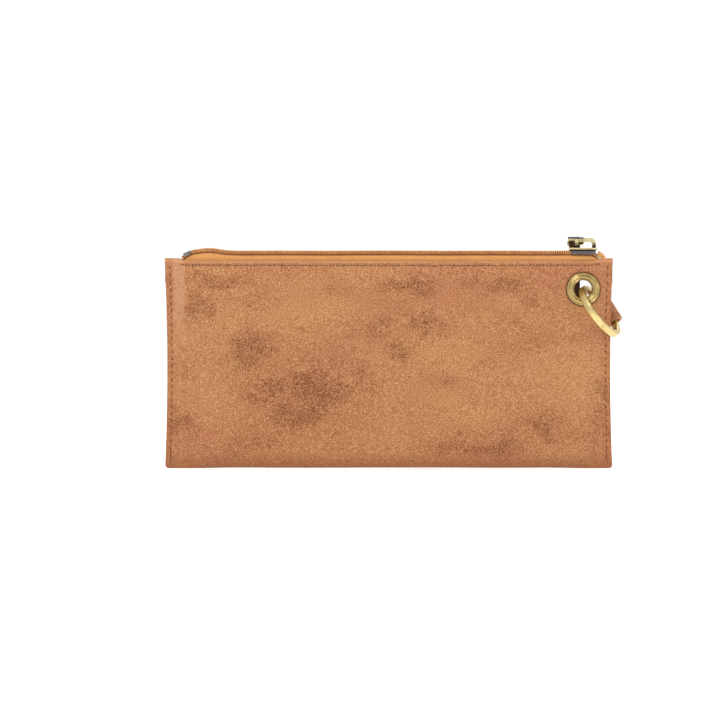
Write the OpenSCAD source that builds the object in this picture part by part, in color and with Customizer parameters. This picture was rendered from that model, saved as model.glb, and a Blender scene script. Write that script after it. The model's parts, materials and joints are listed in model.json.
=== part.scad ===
// Zipped leather wristlet wallet, standing on its bottom fold.
// Millimetres, +Z up, +X towards the eyelet side, front panel facing -Y.
// The origin is the middle of the flat strip under the bottom fold.

/* [Pouch] */
// Width across the side seams
body_w = 210; // [180:1:240]
// Height of the leather panels
body_h = 97.5; // [92:0.5:105]
// Thickness where the pouch is fullest
body_t = 14; // [12:0.5:16]
// Thickness of the leather
leather_t = 1.2; // [1:0.1:1.3]
// Thickness of the cloth lining
lining_t = 0.35; // [0.2:0.05:0.4]
// Thickness of the turned-in top edge
hem_t = 0.7; // [0.5:0.1:0.8]
// Depth of the turned-in top edge
hem_depth = 11; // [9:0.5:12]
// How far each side edge draws in at half height
side_draw = 1; // [0:0.1:2]

/* [Zip] */
// Thickness of the woven tapes
tape_t = 0.5; // [0.4:0.1:0.6]
// Width of the closed coil
coil_w = 5.2; // [5:0.1:5.4]
// Thickness of the coil
coil_t = 1.95; // [1.8:0.05:2.1]
// Length of the slider
slider_l = 13; // [12:0.5:14]
// Width of the slider
slider_w = 8.4; // [8.2:0.1:9]

/* [Pull] */
// Width of the leather pull tab
tab_w = 5.1; // [4:0.1:5.1]
// Drop of the pull tab below its pin
tab_drop = 29; // [20:0.5:32]
// Thickness of the folded pull tab
tab_t = 2.3; // [2:0.1:2.4]

/* [Eyelet and ring] */
// Outside diameter of the eyelet flange
eyelet_d = 15.5; // [14:0.1:16]
// Diameter of the hole through the eyelet
eyelet_hole_d = 8.4; // [8.2:0.1:9]
// Inside diameter of the strap ring
ring_id = 23; // [22.6:0.1:23.4]
// Radial thickness of the strap ring's band
ring_t = 2.6; // [2.2:0.1:2.6]
// Width of the strap ring's band
ring_w = 3.2; // [2.6:0.1:3.2]
// Slope of the ring's chord below level
ring_drop = 53; // [45:1:54]
// Tilt of the ring about its chord
ring_tilt = 16; // [0:1:16]

/* [Wrist strap] */
// Width of the wrist strap
strap_w = 10.6; // [8:0.1:11]
// Thickness of one ply of the wrist strap
strap_t = 1.4; // [1.2:0.1:1.5]
// Length of the folded wrist strap from ring to tip
strap_l = 115; // [90:1:116]
// Width of the hand opening in the strap loop
strap_open = 40; // [30:1:42]

/* [Stitches] */
// Distance from stitch to stitch
stitch_pitch = 3.23; // [2.8:0.01:4]
// Radius of the thread
thread_r = 0.3; // [0.2:0.05:0.35]

/* [Hidden] */
$fn = 48;

half_w = body_w / 2;
gap = 0.05;          // air between layers that lie on each other
eps = 0.01;

// pouch: half thickness of the outside, from the side seams to the full middle
seam_margin = 3;     // flat seam allowance along each side edge
seam_half = 1.7;     // half thickness along the side seams
corner_half = 2.8;   // half thickness at the top corners
bottom_half = 4.4;   // half thickness just above the bottom fold
full_half = body_t / 2;
mouth_half = 4.85;   // half thickness along the zip
swell_run = 40;      // distance over which the panels swell from the side seams
mouth_run = 5;       // the same along the zip
full_z = 40;         // height of the fullest line
shoulder_z = 76;     // above this the panels run straight up to the zip
base_flat = 0.45;    // share of the bottom half thickness that lies flat

// eyelet
eyelet_x = half_w - 13.8;
eyelet_z = body_h - 13.3;
eyelet_half = 2.9;   // half thickness of the layers that the eyelet clamps
eyelet_pad = 8.8;    // half side of the flat square round the eyelet
flange_t = 0.9;
barrel_t = 0.5;
layer_hole_r = eyelet_hole_d / 2 + barrel_t + 0.15;

// zip
tape_top = 100.3;    // top of the tapes, under the coils
tape_low = 88;
tape_leg = 2.8;      // outside of a tape where it rises above the leather
coil_gap = 0.45;     // half the slot between the coils
zip_x0 = -97;
zip_x1 = 98.2;

// slider
slider_x = 91.3;
plate_z = 102.55;
plate_t = 1.05;
plate_top = plate_z + plate_t;
flange_low = 100.5;
journal_z = 106.9;   // axis that the pull link swings on
journal_r = 0.8;
journal_x0 = 89;
journal_x1 = 91.6;
bridge_top = 108.2;

// pull
pin_y = 7;
pin_z = 105.6;
pin_r = 0.7;
loop_r = 1.9;
tab_x0 = 85;
link_x0 = 84.3;
link_x1 = 91.4;

// ring and strap
ring_reach = 13;                  // from the eyelet's axis to the ring's centre
ring_mid = ring_id / 2 + ring_t / 2;
fold_turn = 18.2;                 // place of the strap round the ring
tunnel_r = 2.8;                   // inside of the strap's fold round the ring
neck_end = 16;                    // end of the stitched neck
neck_half = strap_t + gap;

// bridge of the slider, and the link's crossbar and ear
arch_right = 97.2;   // right side of the bridge
arch_leg = 1.7;      // thickness of its right leg
arch_t = 1.9;        // thickness of its top
bridge_w = 2.2;
low_plate_z = 98.1;  // underside of the slider's inner plate
low_plate_t = 1.1;
bar_y = 2.5;         // near side of the crossbar
bar_w = 1.6;
bar_h = 1.85;
ear_t = 0.6;         // thickness of the ear beside the pull tab
ear_y = 3.2;
ear_z = 105.2;
ear_h = 2.2;

function clamp01(v) = min(1, max(0, v));
function ease(v) = let (c = clamp01(v)) c * c * (3 - 2 * c);
function mix(a, b, v) = a + (b - a) * v;

// half thickness of the pouch's outside along its middle, at height z
function middle_half(z) =
    z < full_z ? mix(bottom_half, full_half, sin(90 * z / full_z))
    : mix(full_half, mouth_half, ease((z - full_z) / (shoulder_z - full_z) * 0.94));

// half thickness of the pouch's outside at (x, z)
function pouch_half(x, z) =
    let (
        up = clamp01((z - shoulder_z) / (body_h - shoulder_z)),
        run = mix(swell_run, mouth_run, up),
        edge = mix(seam_half, corner_half, up),
        s = clamp01((half_w - seam_margin - abs(x)) / run),
        free = mix(edge, middle_half(z), s * (2 - s)),
        off = max(abs(x - eyelet_x), abs(z - eyelet_z))
    )
    mix(eyelet_half, free, clamp01((off - eyelet_pad) / 6));

// the side edges draw in a little at half height
function drawn(x, z) = x * (1 - side_draw / half_w * 4 * (z / body_h) * (1 - z / body_h));

x_rows = [
    -105, -102, -97, -90, -80, -62, -40, -14, 14, 40, 60, 74,
    eyelet_x - eyelet_pad, 87, eyelet_x, 95.4, eyelet_x + eyelet_pad, 102.6, 105
];
z_rows = [
    body_h, eyelet_z + eyelet_pad, eyelet_z, eyelet_z - eyelet_pad, 60, 42, 24, 10
];

// A closed sheet between two grids of points, outer[i][j] and inner[i][j].
module sheet(outer, inner) {
    n = len(outer);
    m = len(outer[0]);
    function a(i, j) = i * m + j;
    function b(i, j) = n * m + i * m + j;
    points = [for (g = [outer, inner], row = g, p = row) p];
    faces = concat(
        [for (i = [0:n - 2], j = [0:m - 2], k = [0, 1])
            k == 0 ? [a(i, j), a(i + 1, j), a(i + 1, j + 1)] : [a(i, j), a(i + 1, j + 1), a(i, j + 1)]],
        [for (i = [0:n - 2], j = [0:m - 2], k = [0, 1])
            k == 0 ? [b(i, j), b(i + 1, j + 1), b(i + 1, j)] : [b(i, j), b(i, j + 1), b(i + 1, j + 1)]],
        [for (i = [0:n - 2], k = [0, 1])
            k == 0 ? [a(i, 0), b(i + 1, 0), a(i + 1, 0)] : [a(i, 0), b(i, 0), b(i + 1, 0)]],
        [for (i = [0:n - 2], k = [0, 1])
            k == 0 ? [a(i, m - 1), a(i + 1, m - 1), b(i + 1, m - 1)]
                   : [a(i, m - 1), b(i + 1, m - 1), b(i, m - 1)]],
        [for (j = [0:m - 2], k = [0, 1])
            k == 0 ? [a(0, j), a(0, j + 1), b(0, j + 1)] : [a(0, j), b(0, j + 1), b(0, j)]],
        [for (j = [0:m - 2], k = [0, 1])
            k == 0 ? [a(n - 1, j), b(n - 1, j + 1), a(n - 1, j + 1)]
                   : [a(n - 1, j), b(n - 1, j), b(n - 1, j + 1)]]
    );
    polyhedron(points = points, faces = faces, convexity = 10);
}

// One layer that follows the pouch's side: from depth d0 to d1 under the outside, over heights zs.
module layer(side, xs, zs, d0, d1) {
    last = len(zs) - 1;
    rows = side < 0 ? zs : [for (k = [last:-1:0]) zs[k]];
    function skin(d) = [for (x = xs) [for (z = rows) [drawn(x, z), side * (pouch_half(x, z) - d), z]]];
    difference() {
        sheet(skin(d0), skin(d1));
        eyelet_clearance();
    }
}

module eyelet_clearance() {
    translate([eyelet_x, 0, eyelet_z]) rotate([90, 0, 0])
        cylinder(r = layer_hole_r, h = 30, center = true);
}

// The profile of the folded panel at x, from the front's top edge round the fold to the back's.
function fold_side(x, d) =
    let (h = pouch_half(x, 10) - d, flat = base_flat * (pouch_half(x, 10)), up = d)
    [[h * 0.97 - 0.15, 4.2 + 0.1 * up], [mix(flat, h, 0.72), 1.3 + 0.75 * up], [flat - d * 0.3, up]];

function shell_skin(d) = [for (x = x_rows) concat(
    [for (z = z_rows) [drawn(x, z), d - pouch_half(x, z), z]],
    [for (p = fold_side(x, d)) [drawn(x, p[1]), -p[0], p[1]]],
    [for (k = [2:-1:0]) let (p = fold_side(x, d)[k]) [drawn(x, p[1]), p[0], p[1]]],
    [for (k = [len(z_rows) - 1:-1:0]) let (z = z_rows[k]) [drawn(x, z), pouch_half(x, z) - d, z]]
)];

module leather_shell() {
    color([0.78, 0.53, 0.34]) difference() {
        sheet(shell_skin(0), shell_skin(leather_t));
        eyelet_clearance();
    }
}

inner_rows = [for (x = x_rows) if (abs(x) < half_w - 1) x];
hem_rows = [body_h - 0.1, eyelet_z + eyelet_pad, body_h - hem_depth];

module hem(side) {
    color([0.72, 0.47, 0.29])
        layer(side, inner_rows, hem_rows, leather_t + gap, leather_t + gap + hem_t);
}

module hem_front() { hem(-1); }
module hem_back() { hem(1); }

lining_rows = concat([body_h - hem_depth - 1], [for (z = z_rows) if (z < body_h - hem_depth - 1) z]);

module lining(side) {
    color([0.35, 0.27, 0.22])
        layer(side, inner_rows, lining_rows, leather_t + gap, leather_t + gap + lining_t);
}

module lining_front() { lining(-1); }
module lining_back() { lining(1); }

module card_pocket() {
    depth = leather_t + lining_t + 3 * gap;
    color([0.70, 0.46, 0.30])
        layer(1, [-62, -40, -14, 14, 40], [72, 60, 42, 24, 16], depth, depth + 0.6);
}

// A zip tape: its leg inside the hem, then up and over to the coil.
tape_rows = [for (x = x_rows) if (x > zip_x0 - 1 && x < zip_x1) x];

module zip_tape(side) {
    depth = leather_t + hem_t + 2 * gap;
    rows = concat(tape_rows, [zip_x1]);
    lift = tape_top - tape_t;
    function leg(x, z, d) = pouch_half(x, z) - depth - d;
    function outer(x) = [
        [leg(x, tape_low, 0), tape_low], [leg(x, 93, 0), 93], [leg(x, body_h, 0), body_h],
        [tape_leg, 99.2], [2.3, tape_top], [coil_gap, tape_top]
    ];
    function inner(x) = [
        [leg(x, tape_low, tape_t), tape_low], [leg(x, 93, tape_t), 93],
        [leg(x, body_h, tape_t), body_h], [tape_leg - tape_t, 99.0], [1.9, lift], [coil_gap, lift]
    ];
    function skin(v) = [for (x = rows) [for (p = (v == 0 ? outer(x) : inner(x))) [x, side * p[0], p[1]]]];
    function flipped(g) = [for (r = g) [for (k = [len(r) - 1:-1:0]) r[k]]];
    color([0.82, 0.60, 0.35]) difference() {
        if (side < 0) sheet(flipped(skin(0)), flipped(skin(1)));
        else sheet(skin(0), skin(1));
        eyelet_clearance();
    }
}

module zip_tape_front() { zip_tape(-1); }
module zip_tape_back() { zip_tape(1); }

// Half of the closed coil: a bar with round sides.
module zip_coil(side) {
    r = coil_t / 2;
    color([0.78, 0.55, 0.31]) translate([zip_x0, 0, tape_top + 0.05 + r])
        rotate([90, 0, 90]) linear_extrude(zip_x1 - zip_x0) {
            translate([side * (coil_w / 2 - r), 0]) circle(r);
            translate([side * (coil_gap + r), 0]) circle(r);
            translate([side * (coil_gap + coil_w / 2) / 2, 0])
                square([coil_w / 2 - coil_gap - 2 * r, coil_t], center = true);
        }
}

module zip_coil_front() { zip_coil(-1); }
module zip_coil_back() { zip_coil(1); }

stop_x = -94.4;
stop_z = tape_top + 0.1;

module bottom_stop() {
    w = coil_w + 1.5;
    h = coil_t + 0.9;
    color([0.42, 0.40, 0.38]) translate([stop_x, 0, 0]) difference() {
        translate([-2, -w / 2, stop_z]) cube([4, w, h - 0.1]);
        translate([-3, -coil_w / 2 - gap, stop_z - 1]) cube([6, coil_w + 2 * gap, coil_t + 1.05]);
    }
}

module top_stops() {
    color([0.62, 0.52, 0.33]) for (side = [-1, 1])
        translate([zip_x1 + 0.1, side * 1.6 - 0.9, tape_top - tape_t]) cube([1.4, 1.8, 2]);
}

// Outline of a slider plate seen from above, wide end towards +X.
module slider_outline(w) {
    l = slider_l / 2;
    polygon([
        [-l, -w * 0.32], [-l + 1.2, -w * 0.42], [l - 3.5, -w / 2], [l - 0.8, -w * 0.40], [l, -w * 0.22],
        [l, w * 0.22], [l - 0.8, w * 0.40], [l - 3.5, w / 2], [-l + 1.2, w * 0.42], [-l, w * 0.32]
    ]);
}

module slider_body() {
    wall_in = coil_w / 2 + 0.45;
    low_w = 3.4;
    color([0.55, 0.47, 0.30]) translate([slider_x, 0, 0]) {
        translate([0, 0, plate_z]) linear_extrude(plate_t) slider_outline(slider_w);
        difference() {
            translate([0, 0, flange_low]) linear_extrude(plate_z - flange_low + eps)
                slider_outline(slider_w);
            translate([-slider_l, -wall_in, flange_low - 1])
                cube([2 * slider_l, 2 * wall_in, plate_z - flange_low + 1]);
        }
        translate([-slider_l / 2 + 1, -low_w / 2, low_plate_z])
            cube([slider_l - 2, low_w, low_plate_t]);
        translate([slider_l / 2 - 3.4, -0.3, low_plate_z + 0.9])
            cube([2.4, 0.6, plate_z - low_plate_z - 0.9 + eps]);
    }
}

// Upright rectangle from [x0, z0] to [x1, z1] with its upper right corner rounded.
module rounded_corner(x0, z0, x1, z1, r) {
    translate([x1 - r, z1 - r]) circle(r);
    translate([x0, z0]) square([x1 - r - x0, z1 - z0]);
    translate([x0, z0]) square([x1 - x0, z1 - r - z0]);
}

// The bridge: a round journal for the pull link on the left, a raised arch on the right.
module slider_bridge() {
    color([0.66, 0.58, 0.36]) {
        translate([journal_x0 - eps, 0, journal_z]) rotate([0, 90, 0])
            cylinder(r = journal_r, h = journal_x1 - journal_x0 + 2 * eps);
        translate([journal_x0 - bar_w, -bridge_w / 2, plate_top])
            cube([bar_w, bridge_w, journal_z + journal_r - plate_top]);
        rotate([90, 0, 0]) linear_extrude(bridge_w, center = true) difference() {
            rounded_corner(journal_x1, plate_top, arch_right, bridge_top, 2.6);
            rounded_corner(journal_x1 - 1, plate_top - 1, arch_right - arch_leg, bridge_top - arch_t, 1.2);
        }
    }
}

// Side profile of one cheek of the link, from the journal to the pin.
module link_arm(h, r0, r1) {
    reach = norm([pin_y, pin_z - journal_z]);
    slope = atan2(pin_z - journal_z, pin_y);
    linear_extrude(h) {
        circle(r0);
        rotate(slope) {
            translate([0, -r1]) square([reach, 2 * r1]);
            translate([reach, 0]) circle(r1);
        }
    }
}

module pull_link() {
    eye_r = 1.85;
    arm_r = 1.25;
    arm_x = journal_x0 + 0.15;
    color([0.70, 0.63, 0.40]) difference() {
        union() {
            translate([arm_x, 0, journal_z]) rotate([90, 0, 90])
                link_arm(link_x1 - arm_x, eye_r, arm_r);
            translate([link_x0, pin_y, pin_z]) rotate([90, 0, 90])
                cylinder(r = arm_r, h = ear_t);
            translate([link_x0, bar_y, journal_z]) cube([link_x1 - link_x0, bar_w, bar_h]);
            translate([link_x0, ear_y, ear_z]) cube([ear_t, pin_y - ear_y + 0.1, ear_h]);
        }
        translate([journal_x0 - 1, 0, journal_z]) rotate([0, 90, 0])
            cylinder(r = journal_r + 0.08, h = 5);
        translate([link_x0 + ear_t, pin_y, pin_z]) rotate([0, 90, 0])
            cylinder(r = loop_r + 0.3, h = tab_w + 0.25);
        translate([link_x0 - 1, pin_y, pin_z]) rotate([0, 90, 0])
            cylinder(r = pin_r, h = link_x1 - link_x0 + 2);
    }
}

module pull_link_pin() {
    color([0.50, 0.44, 0.28]) translate([link_x0 - 0.25, pin_y, pin_z]) rotate([0, 90, 0])
        cylinder(r = pin_r, h = link_x1 - link_x0 + 0.5);
}

module pull_tab() {
    color([0.36, 0.22, 0.14]) translate([tab_x0, pin_y, pin_z]) rotate([90, 0, 90])
        linear_extrude(tab_w) difference() {
            union() {
                circle(loop_r);
                translate([-tab_t / 2, -tab_drop + tab_t / 2]) square([tab_t, tab_drop - tab_t / 2]);
                translate([0, -tab_drop + tab_t / 2]) circle(tab_t / 2);
            }
            circle(pin_r + 0.08);
        }
}

// One stitch: a short bar of thread along X, centred.
module stitch(l) {
    rotate([0, 90, 0]) cylinder(r = thread_r, h = l, center = true, $fn = 16);
}

module pull_tab_stitches() {
    color([0.80, 0.55, 0.30]) for (x = [tab_x0 + 1, tab_x0 + tab_w - 1], side = [-1, 1], k = [0:6])
        translate([x, pin_y + side * (tab_t / 2 + 0.1), pin_z - 4.6 - k * stitch_pitch])
            rotate([0, 90, 0]) stitch(stitch_pitch * 0.7);
}

// Eyelet: barrel with a domed front flange, turned about the hole's axis.
module eyelet() {
    r0 = eyelet_hole_d / 2;
    seat = eyelet_half + gap;
    color([0.62, 0.52, 0.30]) translate([eyelet_x, 0, eyelet_z]) rotate([90, 0, 0]) rotate_extrude()
        polygon([
            [r0, -seat - 0.75], [r0 + 0.2, -seat - 0.95], [r0 + 0.9, -seat - 0.95],
            [r0 + 1.1, -seat - 0.75], [r0 + 1.1, -seat - 0.56], [r0 + barrel_t, -seat - 0.56],
            [r0 + barrel_t, seat], [eyelet_d / 2, seat], [eyelet_d / 2, seat + 0.45],
            [eyelet_d / 2 - 0.35, seat + 0.7], [eyelet_d / 2 - 1, seat + 0.55],
            [r0 + 1.6, seat + flange_t], [r0 + 0.5, seat + flange_t], [r0, seat + 0.4]
        ]);
}

module eyelet_washer() {
    r0 = eyelet_hole_d / 2 + barrel_t + gap;
    seat = eyelet_half + gap;
    color([0.60, 0.50, 0.29]) translate([eyelet_x, seat, eyelet_z]) rotate([-90, 0, 0])
        difference() {
            cylinder(d = eyelet_d - 1, h = 0.5);
            translate([0, 0, -1]) cylinder(r = r0, h = 3);
        }
}

// Places children in the ring's frame: X along the chord away from the eyelet, Y in the ring's
// plane towards the back, Z along the ring's axis, with the origin at the eyelet's centre.
module ring_frame() {
    translate([eyelet_x, 0, eyelet_z]) rotate([0, ring_drop, 0]) rotate([ring_tilt, 0, 0]) children();
}

module strap_ring() {
    c = 0.7;   // corner radius of the band
    color([0.80, 0.74, 0.52]) ring_frame() translate([ring_reach, 0, 0]) rotate_extrude($fn = 96)
        translate([ring_mid, 0]) {
            square([ring_t - 2 * c, ring_w], center = true);
            square([ring_t, ring_w - 2 * c], center = true);
            for (u = [-1, 1], v = [-1, 1])
                translate([u * (ring_t / 2 - c), v * (ring_w / 2 - c)]) circle(c, $fn = 24);
        }
}

// Places children where the strap folds round the ring: X along the strap from the ring to its
// tip, Y away from the ring's centre, Z across the strap's width.
module strap_frame() {
    ring_frame() translate([ring_reach, 0, 0]) rotate([0, 0, -fold_turn]) translate([0, ring_mid, 0])
        rotate([0, 90, 0]) children();
}

// Half width of the strap loop's middle line: a teardrop that starts at the neck.
loop_len = strap_l - neck_end;
function drop_at(v) = [
    neck_end + loop_len * (1 - cos(v)) / 2,
    strap_open / 2 / 0.7 * sin(v) * pow(sin(v / 2), 1.5)
];
function drop_off(v, d) =
    let (a = drop_at(max(0, v - 1)), b = drop_at(min(180, v + 1)), t = (b - a) / norm(b - a))
    drop_at(v) + d * [-t[1], t[0]];

// Closed outline at distance d outside the middle line, from the angle v0 on.
function drop_outline(d, v0) = let (half = [for (v = [v0:8:174]) drop_off(v, d)]) concat(
    [[drop_at(v0 - 8)[0], 0]],
    half,
    [[strap_l + d, 0]],
    [for (k = [len(half) - 1:-1:0]) [half[k][0], -half[k][1]]]
);

module wrist_strap() {
    color([0.76, 0.52, 0.34]) strap_frame() linear_extrude(strap_w, center = true) difference() {
        union() {
            circle(tunnel_r + strap_t);
            translate([0, -neck_half]) square([neck_end + 6.5, 2 * neck_half]);
            polygon(drop_outline(strap_t / 2, 22));
        }
        circle(tunnel_r);
        polygon(drop_outline(-strap_t / 2, 38));
    }
}

module strap_stitches() {
    color([0.72, 0.35, 0.18]) strap_frame()
        for (z = [-1, 1], side = [-1, 1], k = [0:2])
            translate([7 + k * stitch_pitch, side * (neck_half + 0.1), z * (strap_w / 2 - 2)])
                stitch(stitch_pitch * 0.7);
}

module top_stitching(side) {
    z = body_h - 2.1;
    count = floor((body_w - 14) / 2 / stitch_pitch);
    color([0.33, 0.19, 0.11]) for (k = [-count:count]) {
        x = k * stitch_pitch;
        slope = atan2(pouch_half(x + 1, z) - pouch_half(x - 1, z), 2);
        translate([drawn(x, z), side * (pouch_half(x, z) + 0.1), z])
            rotate([0, 0, side * slope]) stitch(stitch_pitch * 0.7);
    }
}

module top_stitching_front() { top_stitching(-1); }
module top_stitching_back() { top_stitching(1); }

module side_seam(end) {
    inset = 2.2;
    count = floor((body_h - 6) / stitch_pitch);
    color([0.55, 0.28, 0.14]) for (side = [-1, 1], k = [0:count]) {
        z = 3 + k * stitch_pitch;
        x = end * (half_w - inset);
        translate([drawn(x, z), side * (pouch_half(x, z) + 0.1), z])
            rotate([0, 90, 0]) stitch(stitch_pitch * 0.7);
    }
}

module side_seam_left() { side_seam(-1); }
module side_seam_right() { side_seam(1); }

leather_shell();
hem_front();
hem_back();
lining_front();
lining_back();
card_pocket();
zip_tape_front();
zip_tape_back();
zip_coil_front();
zip_coil_back();
bottom_stop();
top_stops();
slider_body();
slider_bridge();
pull_link();
pull_link_pin();
pull_tab();
pull_tab_stitches();
eyelet();
eyelet_washer();
strap_ring();
wrist_strap();
strap_stitches();
top_stitching_front();
top_stitching_back();
side_seam_left();
side_seam_right();
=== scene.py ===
"""Visual model of a zipped leather wristlet wallet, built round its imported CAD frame.

Lengths are in metres in the CAD frame: +Z up, +X towards the eyelet, front panel facing -Y.
"""

import json
import math
import random

import bmesh
import bpy
import numpy as np
from mathutils import Matrix, Vector
from mathutils import noise as mnoise


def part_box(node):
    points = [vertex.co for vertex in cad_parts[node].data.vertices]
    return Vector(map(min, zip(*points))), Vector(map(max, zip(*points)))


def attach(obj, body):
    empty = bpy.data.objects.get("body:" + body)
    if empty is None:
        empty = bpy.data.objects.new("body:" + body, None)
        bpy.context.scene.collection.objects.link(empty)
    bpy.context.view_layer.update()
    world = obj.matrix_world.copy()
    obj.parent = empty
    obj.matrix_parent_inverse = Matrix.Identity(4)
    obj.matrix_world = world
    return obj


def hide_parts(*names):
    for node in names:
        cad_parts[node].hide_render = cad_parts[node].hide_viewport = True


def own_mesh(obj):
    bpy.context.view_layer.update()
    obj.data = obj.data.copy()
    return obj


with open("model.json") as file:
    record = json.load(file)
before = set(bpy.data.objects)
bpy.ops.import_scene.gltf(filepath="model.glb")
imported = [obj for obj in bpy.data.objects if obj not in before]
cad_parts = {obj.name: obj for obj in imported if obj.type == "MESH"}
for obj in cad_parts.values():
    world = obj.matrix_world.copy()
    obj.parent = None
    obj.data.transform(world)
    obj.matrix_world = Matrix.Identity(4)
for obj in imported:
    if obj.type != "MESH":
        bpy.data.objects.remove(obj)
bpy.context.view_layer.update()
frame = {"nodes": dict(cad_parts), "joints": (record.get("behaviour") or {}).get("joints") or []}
nodes = frame["nodes"]

MM = 0.001

# ---- places taken from the frame

shell_lo, shell_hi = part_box("leather_shell")
eyelet_lo, eyelet_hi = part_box("eyelet")
washer_lo, washer_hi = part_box("eyelet_washer")
tab_lo, tab_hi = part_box("pull_tab")
coil_lo, coil_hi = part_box("zip_coil_back")
stop_lo, stop_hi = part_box("bottom_stop")
pin_lo, pin_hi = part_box("pull_link_pin")

HALF_W = (shell_hi[0] - shell_lo[0]) / 2
HEIGHT = shell_hi[2]
FULL_HALF = shell_hi[1]
EYE_X = (eyelet_lo[0] + eyelet_hi[0]) / 2
EYE_Z = (eyelet_lo[2] + eyelet_hi[2]) / 2
EYE_HALF = washer_lo[1] - 0.05 * MM
FLANGE_R = (eyelet_hi[0] - eyelet_lo[0]) / 2
HOLE_R = 4.2 * MM
LEATHER_T = 1.2 * MM
SEAM_HALF = 1.7 * MM
CORNER_HALF = 2.8 * MM
MOUTH_HALF = 4.85 * MM
BOTTOM_HALF = 4.4 * MM
SEAM_MARGIN = 3.0 * MM
FULL_Z = 40 * MM
SHOULDER_Z = 76 * MM
SIDE_DRAW = 1.1 * MM
PITCH = 3.23 * MM         # from stitch to stitch
TOP_ROW = 2.1 * MM        # from the top edge down to its stitches
SIDE_ROW = 2.2 * MM       # from a side edge in to its stitches
LIFT_RUN = 14 * MM        # height over which the panel follows its wavy top edge
HEM_T = 0.7 * MM
HEM_DEPTH = 11 * MM
HEM_JOIN = 9              # row of the inner face that the hem's raw edge meets
PIN_Y = (pin_lo[1] + pin_hi[1]) / 2
PIN_Z = (pin_lo[2] + pin_hi[2]) / 2

joints = {j["name"]: j for j in frame["joints"]}

SIDES = ((-1, "front"), (1, "back"))
X_AXIS = Vector((1, 0, 0))
Z_AXIS = Vector((0, 0, 1))


# ---- small helpers

def clamp01(v):
    return min(1.0, max(0.0, v))


def ease(v):
    c = clamp01(v)
    return c * c * (3 - 2 * c)


def mix(a, b, v):
    return a + (b - a) * v


def new_object(name, data):
    obj = bpy.data.objects.new(name, data)
    bpy.context.scene.collection.objects.link(obj)
    return obj


def mesh_object(name, verts, faces):
    """A smooth-shaded object with its faces turned outwards."""
    mesh = bpy.data.meshes.new(name)
    mesh.from_pydata([tuple(v) for v in verts], [], faces)
    mesh.validate()
    bm = bmesh.new()
    bm.from_mesh(mesh)
    bmesh.ops.recalc_face_normals(bm, faces=bm.faces)
    bm.to_mesh(mesh)
    bm.free()
    mesh.polygons.foreach_set("use_smooth", [True] * len(mesh.polygons))
    return new_object(name, mesh)


def paint(obj, material):
    obj.data.materials.clear()
    obj.data.materials.append(material)


def finish_piece(obj, body, slot, material, *replaced):
    paint(obj, material)
    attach(obj, body)
    if replaced:
        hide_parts(*replaced)


def ring_strip(n, m, closed_u=False, closed_v=False, base=0):
    """Quads of an n by m grid of points, numbered row by row."""
    out = []
    for i in range(n if closed_u else n - 1):
        for j in range(m if closed_v else m - 1):
            a, b = i, (i + 1) % n
            c, d = j, (j + 1) % m
            out.append((base + a * m + c, base + b * m + c, base + b * m + d, base + a * m + d))
    return out


def tube_faces(n, m):
    """Faces of n rings of m points, capped at both ends."""
    faces = ring_strip(n, m, closed_v=True)
    faces.append(tuple(range(m)))
    faces.append(tuple((n - 1) * m + k for k in reversed(range(m))))
    return faces


def sweep(points, frames, profile, closed=False):
    """Verts and faces of a profile [(u, v)] carried along points with (u axis, v axis) frames."""
    verts = []
    for p, (u, v) in zip(points, frames):
        for a, b in profile:
            verts.append(Vector(p) + u * a + v * b)
    n, m = len(points), len(profile)
    return verts, ring_strip(n, m, True, True) if closed else tube_faces(n, m)


def tangent(points, i, closed=False):
    """Direction of a line of points at point i."""
    last = len(points) - 1
    if closed:
        return (points[0 if i == last else i + 1] - points[i - 1]).normalized()
    return (points[min(i + 1, last)] - points[max(i - 1, 0)]).normalized()


def arc(cx, cy, rx, ry, start, turn, steps):
    """Points [(u, v)] on an ellipse, from start through turn degrees."""
    angles = [math.radians(start + turn * k / steps) for k in range(steps + 1)]
    return [(cx + rx * math.cos(a), cy + ry * math.sin(a)) for a in angles]


def ellipse(rx, ry, count):
    angles = [math.tau * k / count for k in range(count)]
    return [(rx * math.cos(a), ry * math.sin(a)) for a in angles]


def flat(rows):
    return [v for row in rows for v in row]


def closed_sheet(outer, inner, n, m):
    """Verts and faces of two n by m layers of points, joined round their border."""
    faces = ring_strip(n, m) + [tuple(reversed(f)) for f in ring_strip(n, m, base=n * m)]
    border = [i * m for i in range(n)] + [(n - 1) * m + j for j in range(1, m)]
    border += [i * m + m - 1 for i in range(n - 2, -1, -1)] + [j for j in range(m - 2, 0, -1)]
    for a, b in zip(border, border[1:] + border[:1]):
        faces.append((a, b, n * m + b, n * m + a))
    return outer + inner, faces


def merge(parts):
    """One list of verts and faces from several."""
    verts, faces = [], []
    for v, f in parts:
        base = len(verts)
        verts += list(v)
        faces += [tuple(base + k for k in face) for face in f]
    return verts, faces


# ---- material helpers

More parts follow.
